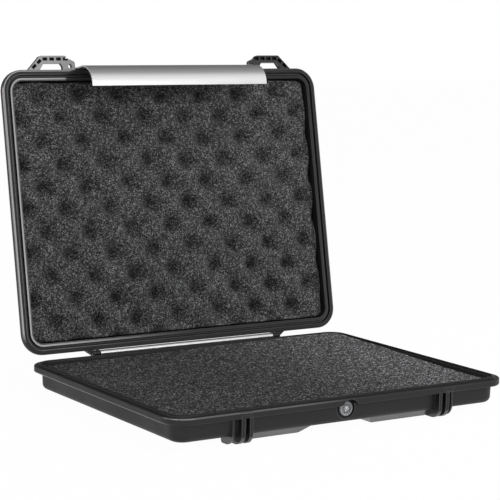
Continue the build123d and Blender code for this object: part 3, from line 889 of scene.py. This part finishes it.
class VentDisc(bpy.types.Operator):
    """The disc of the pressure vent, with its star boss and ring of dimples"""

    bl_idname = "case.vent_disc"
    bl_label = "Vent disc"

    def execute(self, context):
        low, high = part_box("valve_cap")
        radius = (high.x - low.x) / 2
        thickness = high.y - low.y
        relief = star_and_dimples(radius)
        points, faces = disc(radius, thickness, edge=0.35 * MM, rings=26, spokes=96, relief=relief)
        reach = np.hypot(points[:, 0], points[:, 1])
        turn = np.arctan2(points[:, 1], points[:, 0])
        # painted shade: the disc's colour darkens with the depth it is sunk
        darkest = 0.6 * MM  # the depth at which the material is darkest
        sunk = relief(reach, turn) / darkest
        middle_z = (low.z + high.z) / 2
        placed = np.stack([points[:, 0], low.y + points[:, 2], middle_z + points[:, 1]], axis=1)
        piece = add_piece("vent_disc", placed, faces, mirrored=True)
        mark(piece, "sunk", sunk.clip(0, 1))
        material = self.disc_plastic(context.scene.case_colours.vent)
        place_piece(piece, "base", "valve_plastic", material, "valve_cap")
        return {"FINISHED"}

    def disc_plastic(self, colour):
        """Speckled plastic with metal flakes, with painted shade where the disc is sunk: the
        deeper, the darker, and without the flakes there.
        """

        def sockets(tree):
            texture = effect(tree, mould_grain, Cell_size=0.9 * MM)
            sunk_painted_shade = put(tree, "ShaderNodeAttribute", attribute_name="sunk").outputs["Fac"]
            speck = spread(tree, texture["Fine"], 0.35, 0.65)
            # painted shade: the deeper the disc is sunk, the nearer its colour goes to black
            tint = blend(tree, sunk_painted_shade, scaled(colour, 2.9), scaled(colour, 0.02))
            tint = blend(tree, speck, scaled(colour, 0.3), tint)
            rough = spread(tree, texture["Cloud"], 0.3, 0.7, 0.4, 0.55)
            normal = bump(tree, texture["Height"], 0.1 * MM, None, 0.5)
            flakes = spread(tree, sunk_painted_shade, 0.5, 0.0, 0.0, 0.55)
            return {"Base Color": tint, "Metallic": flakes, "Roughness": rough, "Normal": normal}

        return finish("vent_plastic_disc", colour, sockets)


class ShellFinish(bpy.types.Operator):
    """Grained plastic on the two trays"""

    bl_idname = "case.shells"
    bl_label = "Tray finish"

    def execute(self, context):
        colour = context.scene.case_colours.shell
        for node, polish in (("base_shell", self.base_polish), ("lid_shell", self.lid_polish)):
            material = plastic(
                f"{node}_plastic",
                colour,
                grain=0.7 * MM,
                roughness=0.5,
                wear=0.5,
                edge_radius=1.1 * MM,
                polish=polish,
                specular=0.35,
            )
            dress(material, node)
        return {"FINISHED"}

    def lid_polish(self, tree):
        """Share of gloss on the lid: its sealing lip's left half, 7.9 to 10 mm in from the rim
        at the parting plane, and the rim's outer edge away from the hinge."""
        place = effect(tree, shut_place, Angle=OPEN_ANGLE)
        near_plane = spread(tree, place["Height"], 2.0 * MM, 1.2 * MM)
        outer = spread(tree, place["Inset"], 7.6 * MM, 8.1 * MM)
        inner = spread(tree, place["Inset"], 10.3 * MM, 9.7 * MM)
        left = spread(tree, place["Sideways"], 20 * MM, -100 * MM, 0.1, 1.0)
        lip = maths(tree, "MULTIPLY", outer, inner, left)
        edge = spread(tree, place["Inset"], 2.1 * MM, 1.4 * MM)
        away = spread(tree, place["Backward"], RIM_HALF[1] - 12 * MM, RIM_HALF[1] - 22 * MM)
        edge = maths(tree, "MULTIPLY", edge, away)
        return maths(tree, "MULTIPLY", near_plane, maths(tree, "MAXIMUM", lip, edge))

    def base_polish(self, tree):
        """Share of gloss on the base: the raised bands that it slides on, and the rim's outer
        edges, the upper one along the front's left half and the lower one on the other sides."""
        place = effect(tree, shut_place, Angle=0.0)
        feet = spread(tree, place["Height"], FOOT_TOP + 0.6 * MM, FOOT_TOP - 0.6 * MM, 0.0, 0.5)
        front = spread(tree, place["Backward"], 22 * MM - RIM_HALF[1], 8 * MM - RIM_HALF[1])
        upper = spread(tree, place["Height"], -2.0 * MM, -1.2 * MM)
        underside = -RIM_THICKNESS
        lower = spread(tree, place["Height"], underside + 1.6 * MM, underside + 0.8 * MM, 0.0, 0.6)
        left = spread(tree, place["Sideways"], 20 * MM, -60 * MM, 0.1, 1.0)
        upper = maths(tree, "MULTIPLY", upper, front, left)
        lower = maths(tree, "MULTIPLY", lower, maths(tree, "SUBTRACT", 1.0, front))
        edge = spread(tree, place["Inset"], 1.6 * MM, 1.0 * MM)
        edge = maths(tree, "MULTIPLY", maths(tree, "MAXIMUM", upper, lower), edge)
        return maths(tree, "MAXIMUM", feet, edge)


class LoopFinish(bpy.types.Operator):
    """Plastic on the strap loops, glossy on the face and dull in the pockets and on the flanks"""

    bl_idname = "case.loops"
    bl_label = "Strap loop finish"

    def execute(self, context):
        colour = context.scene.case_colours.loop
        face = shut_box("strap_loop_right")[0][2] - PARTING_Z

        def polish(tree):
            height = effect(tree, shut_place, Angle=OPEN_ANGLE)["Height"]
            return spread(tree, height, face + 1.6 * MM, face + 0.8 * MM)

        material = plastic(
            "loop_plastic",
            colour,
            grain=0.6 * MM,
            roughness=0.45,
            wear=0.4,
            edge_radius=0.5 * MM,
            polish=polish,
            specular=0.2,
        )
        dress(material, *LOOPS)
        return {"FINISHED"}


class BarFinish(bpy.types.Operator):
    """Satin aluminium on the latch bar and the hinge bar"""

    bl_idname = "case.bars"
    bl_label = "Bar finish"

    def execute(self, context):
        colour = context.scene.case_colours.bar
        dress(aluminium("bar_aluminium", colour, roughness=0.3), *BARS)
        return {"FINISHED"}


class FastenerFinish(bpy.types.Operator):
    """Steel on the pins, screws and rivets"""

    bl_idname = "case.fasteners"
    bl_label = "Pin, screw and rivet finish"

    def execute(self, context):
        dress(steel("fastener_steel", STEEL), *PINS, *SCREWS_AND_RIVETS)
        return {"FINISHED"}


class VentFinish(bpy.types.Operator):
    """Plastic on the vent's body and nut, rubber on its gasket, and its woven membrane"""

    bl_idname = "case.vent"
    bl_label = "Vent finish"

    def execute(self, context):
        body = plastic(
            "vent_plastic",
            context.scene.case_colours.vent,
            grain=0.45 * MM,
            roughness=0.5,
            wear=0.4,
            edge_radius=0.3 * MM,
        )
        dress(body, "valve_body", "valve_nut")
        ring = plastic(
            "vent_gasket", RUBBER, grain=0.4 * MM, roughness=0.6, wear=0.1, edge_radius=0.2 * MM
        )
        dress(ring, "valve_gasket")

        def sockets(tree):
            fibres = noise(tree, object_place(tree), 2600.0, 4.0, 0.7)
            tint = blend(tree, fibres, (0.6, 0.6, 0.6, 1), (0.85, 0.85, 0.85, 1))
            normal = bump(tree, fibres, 0.05 * MM, None, 0.5)
            return {"Base Color": tint, "Roughness": 0.9, "Normal": normal}

        dress(finish("membrane_fibres", (0.75, 0.75, 0.75), sockets), "valve_membrane")
        return {"FINISHED"}


class Stage(bpy.types.Operator):
    """Pale floor, white surroundings, soft lamps and the camera"""

    bl_idname = "case.stage"
    bl_label = "Studio"

    def execute(self, context):
        studio = context.scene.case_studio
        self.add_floor()
        self.add_world(context, studio.ambient)
        self.add_lamp("key_softbox", (0.51, -1.467, 0.97), 0.6, 0.5, studio.key * 0.5)
        self.add_lamp("side_softbox", (1.35, -0.75, 0.75), 0.5, 0.5, studio.key * 0.9)
        self.add_lamp("top_softbox", (-0.2, -0.25, 1.7), 1.4, 1.4, studio.key * 0.7)
        self.add_camera(context, studio)
        context.scene.view_settings.view_transform = "Standard"
        return {"FINISHED"}

    def add_floor(self):
        """A wide flat grid at the case's feet, white to the camera, where a shadow stays."""
        side = np.linspace(-6, 6, 13)
        x, y = grid_places(side, side)
        points = np.stack([x, y, np.zeros(len(x))], axis=1)
        floor = add_piece("floor", points, [grid_faces(len(side), len(side))])
        material = bpy.data.materials.new("pale_floor")
        material.use_nodes = True
        tree = material.node_tree
        tree.nodes.clear()
        paper = put(tree, "ShaderNodeBsdfDiffuse", {"Color": (0.82, 0.82, 0.82, 1)}).outputs[0]
        light = put(tree, "ShaderNodeEmission", {"Color": WHITE, "Strength": 1.0}).outputs[0]
        path = put(tree, "ShaderNodeLightPath").outputs
        gloss = maths(tree, "MAXIMUM", path["Is Glossy Ray"], path["Is Transmission Ray"])
        gloss = maths(tree, "MULTIPLY", gloss, 0.8)
        share = maths(tree, "MAXIMUM", maths(tree, "MULTIPLY", path["Is Camera Ray"], 0.98), gloss)
        put(tree, "ShaderNodeOutputMaterial", {"Surface": mixed(tree, share, paper, light)})
        floor.data.materials.append(material)

    def walls(self, tree):
        """The studio as gloss shows it, by the direction in which gloss looks: white low down
        on every side and up the front, under a dim ceiling, with a bright panel ahead that ends
        at x = 0.465 and one on the left that leaves out what is straight to the left."""
        direction = put(tree, "ShaderNodeTexCoord").outputs["Generated"]
        axes = put(tree, "ShaderNodeSeparateXYZ", {"Vector": direction}).outputs
        low_down = spread(tree, axes["Z"], 0.3, 0.1, 0.0, 0.85)
        rising = spread(tree, axes["Y"], 0.7, -0.35, 0.17, 0.35)
        in_front = spread(tree, axes["Y"], -0.12, -0.58, 0.0, 0.56)
        high_up = spread(tree, axes["Z"], 0.22, 0.45)
        band = maths(tree, "MULTIPLY", maths(tree, "ADD", rising, in_front), high_up)
        lit = maths(tree, "MAXIMUM", low_down, band, 0.12)
        beside_edge = spread(tree, axes["X"], 0.475, 0.455)
        ahead = spread(tree, axes["Y"], -0.7, -0.78, 0.0, 2.6)
        above_foot = spread(tree, axes["Z"], 0.1, 0.16)
        panel = maths(tree, "MULTIPLY", beside_edge, ahead, above_foot)
        left_start = spread(tree, axes["X"], -0.68, -0.8, 0.0, 2.8)
        left_end = spread(tree, axes["X"], -0.98, -0.92)
        panels = maths(tree, "ADD", panel, maths(tree, "MULTIPLY", left_start, left_end))
        below_top = spread(tree, axes["Z"], 0.44, 0.38)
        return maths(tree, "ADD", lit, maths(tree, "MULTIPLY", panels, below_top))

    def add_world(self, context, ambient):
        """White to the camera, the walls to gloss and through glass, and a plain soft light to
        everything else."""
        world = context.scene.world or bpy.data.worlds.new("studio")
        context.scene.world = world
        world.use_nodes = True
        tree = world.node_tree
        tree.nodes.clear()
        soft, white, room = (
            put(tree, "ShaderNodeBackground", {"Color": WHITE, "Strength": strength}).outputs[0]
            for strength in (ambient, 1.0, self.walls(tree))
        )
        path = put(tree, "ShaderNodeLightPath").outputs
        rays = [path[f"Is {kind} Ray"] for kind in ("Camera", "Glossy", "Transmission")]
        direct = mixed(tree, path["Is Camera Ray"], room, white)
        surface = mixed(tree, maths(tree, "MAXIMUM", *rays), soft, direct)
        put(tree, "ShaderNodeOutputWorld", {"Surface": surface})

    def add_lamp(self, name, place, width, height, power):
        """A rectangular softbox at place, turned towards the middle of the case."""
        lamp = bpy.data.lights.new(name, "AREA")
        lamp.shape = "RECTANGLE"
        lamp.size = width
        lamp.size_y = height
        lamp.energy = power
        box = bpy.data.objects.new(name, lamp)
        box.visible_glossy = False
        box.location = place
        away = Vector(bpy.context.scene.case_studio.target) - Vector(place)
        box.rotation_mode = "QUATERNION"
        box.rotation_quaternion = away.to_track_quat("-Z", "Y")
        bpy.context.scene.collection.objects.link(box)

    def add_camera(self, context, studio):
        """A camera at that azimuth, elevation and distance from its target, turned by the roll
        about its own axis."""
        turn, rise = studio.azimuth, studio.elevation
        ahead = np.array(
            [math.sin(turn) * math.cos(rise), math.cos(turn) * math.cos(rise), -math.sin(rise)]
        )
        right = np.array([math.cos(turn), -math.sin(turn), 0.0])
        up = np.cross(right, ahead)
        rolled_right = math.cos(studio.roll) * right + math.sin(studio.roll) * up
        rolled_up = -math.sin(studio.roll) * right + math.cos(studio.roll) * up
        matrix = np.eye(4)
        matrix[:3, 0] = rolled_right
        matrix[:3, 1] = rolled_up
        matrix[:3, 2] = -ahead
        matrix[:3, 3] = np.array(studio.target) - ahead * studio.distance
        lens = bpy.data.cameras.new("camera")
        lens.sensor_width = 36.0
        lens.sensor_fit = "HORIZONTAL"
        lens.lens = studio.lens
        lens.clip_start = 0.05
        lens.clip_end = 50.0
        camera = bpy.data.objects.new("camera", lens)
        camera.matrix_world = Matrix(matrix.tolist())
        context.scene.collection.objects.link(camera)
        context.scene.camera = camera


OPERATORS = (
    LidFoam,
    BaseFoam,
    LidSeal,
    VentDisc,
    ShellFinish,
    LoopFinish,
    BarFinish,
    FastenerFinish,
    VentFinish,
    Stage,
)


class CasePanel(bpy.types.Panel):
    """Pieces, finishes and studio of the case"""

    bl_idname = "VIEW3D_PT_case"
    bl_label = "Laptop hard case"
    bl_space_type = "VIEW_3D"
    bl_region_type = "UI"
    bl_category = "Case"

    def draw(self, context):
        for group in ("case_foam", "case_colours", "case_studio"):
            settings = getattr(context.scene, group)
            for name in settings.__annotations__:
                self.layout.prop(settings, name)
        for operator in OPERATORS:
            self.layout.operator(operator.bl_idname)


CLASSES = (FoamSizes, CaseColours, StudioSizes) + OPERATORS + (CasePanel,)


def register():
    """Registers the classes and puts the settings on the scene."""
    for item in CLASSES:
        bpy.utils.register_class(item)
    bpy.types.Scene.case_foam = bpy.props.PointerProperty(type=FoamSizes)
    bpy.types.Scene.case_colours = bpy.props.PointerProperty(type=CaseColours)
    bpy.types.Scene.case_studio = bpy.props.PointerProperty(type=StudioSizes)


def unregister():
    """Takes the settings off the scene again, and the classes out."""
    del bpy.types.Scene.case_studio
    del bpy.types.Scene.case_colours
    del bpy.types.Scene.case_foam
    for item in reversed(CLASSES):
        bpy.utils.unregister_class(item)


def main():
    """Makes every piece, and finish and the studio."""
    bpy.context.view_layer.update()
    register()
    bpy.ops.case.lid_foam()
    bpy.ops.case.base_foam()
    bpy.ops.case.lid_seal()
    bpy.ops.case.vent_disc()
    bpy.ops.case.shells()
    bpy.ops.case.loops()
    bpy.ops.case.bars()
    bpy.ops.case.fasteners()
    bpy.ops.case.vent()
    bpy.ops.case.stage()


if __name__ == "__main__":
    main()
